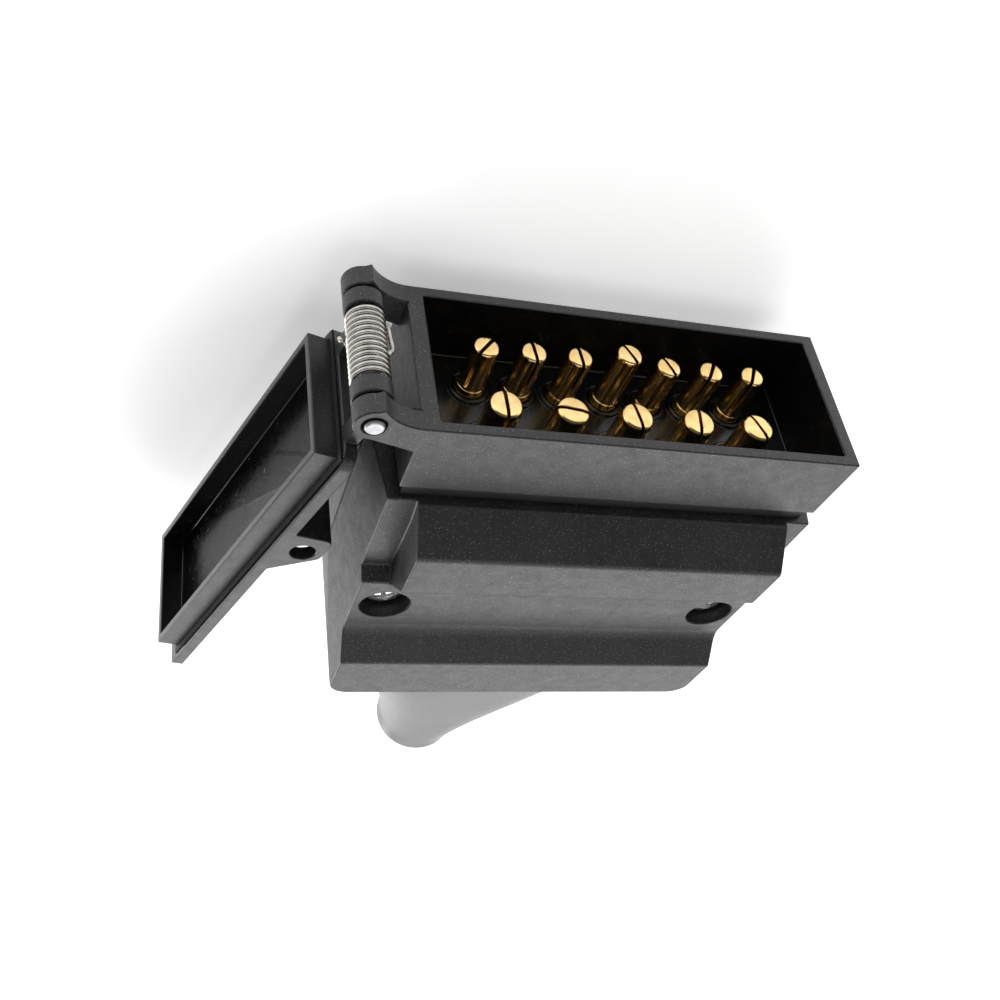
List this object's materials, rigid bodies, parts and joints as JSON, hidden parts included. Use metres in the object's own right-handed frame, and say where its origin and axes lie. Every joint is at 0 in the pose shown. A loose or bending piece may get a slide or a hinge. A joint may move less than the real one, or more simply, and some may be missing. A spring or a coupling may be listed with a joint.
{
  "type": "trailer wiring connector",
  "caption": "Flat trailer plug with two rows of split gold pins in a rectangular rim, a sprung hinged lid, a two-shell grip housing and a tapered cable boot.",
  "frame": {"origin": "centre of the mating opening, in the plane of the rim's front edge", "axes": "+Y from the mating side to the cable side, +Z the screw side of the housing, +X the hinge side of the lid"},
  "size_m": [0.1083, 0.1489, 0.044],
  "materials": {
    "shroud_plastic": "moulded black, fine grain",
    "carrier_plastic": "moulded black, smooth",
    "housing_plastic": "moulded black, spark-eroded texture",
    "lid_plastic": "moulded black, fine grain",
    "contact_gold": "gold-coloured plating, turned",
    "insert_brass": "knurled",
    "zinc_steel": "zinc plated",
    "screw_steel": "nickel plated, bright",
    "pin_steel": "bright, swaged end",
    "spring_steel": "drawn stainless wire",
    "seal_rubber": "matt black",
    "boot_rubber": "smooth grey"
  },
  "bodies": {
    "plug": {"front_shroud": "shroud_plastic", "contact_carrier": "carrier_plastic", "small_pin_1": "contact_gold", "small_pin_2": "contact_gold", "small_pin_3": "contact_gold", "small_pin_4": "contact_gold", "small_pin_5": "contact_gold", "small_pin_6": "contact_gold", "small_pin_7": "contact_gold", "large_pin_1": "contact_gold", "large_pin_2": "contact_gold", "large_pin_3": "contact_gold", "large_pin_4": "contact_gold", "large_pin_5": "contact_gold", "small_terminal_screws": "zinc_steel", "large_terminal_screws": "zinc_steel", "carrier_screws": "zinc_steel", "housing_gasket": "seal_rubber", "upper_shell": "housing_plastic", "lower_shell": "housing_plastic", "housing_screws": "screw_steel", "screw_inserts": "insert_brass", "cable_boot": "boot_rubber", "cable_clamp": "carrier_plastic", "clamp_screws": "zinc_steel", "hinge_pin": "pin_steel", "torsion_spring": "spring_steel"},
    "lid": {"lid": "lid_plastic", "lid_seal": "seal_rubber"}
  },
  "joints": [
    {"name": "lid_hinge", "type": "hinge", "parent": "plug", "child": "lid", "pos_m": [0.0439, 0.0002, 0], "axis": [0, 0, -1], "range_deg": [-6, 254], "deforming": ["torsion_spring"]}
  ]
}
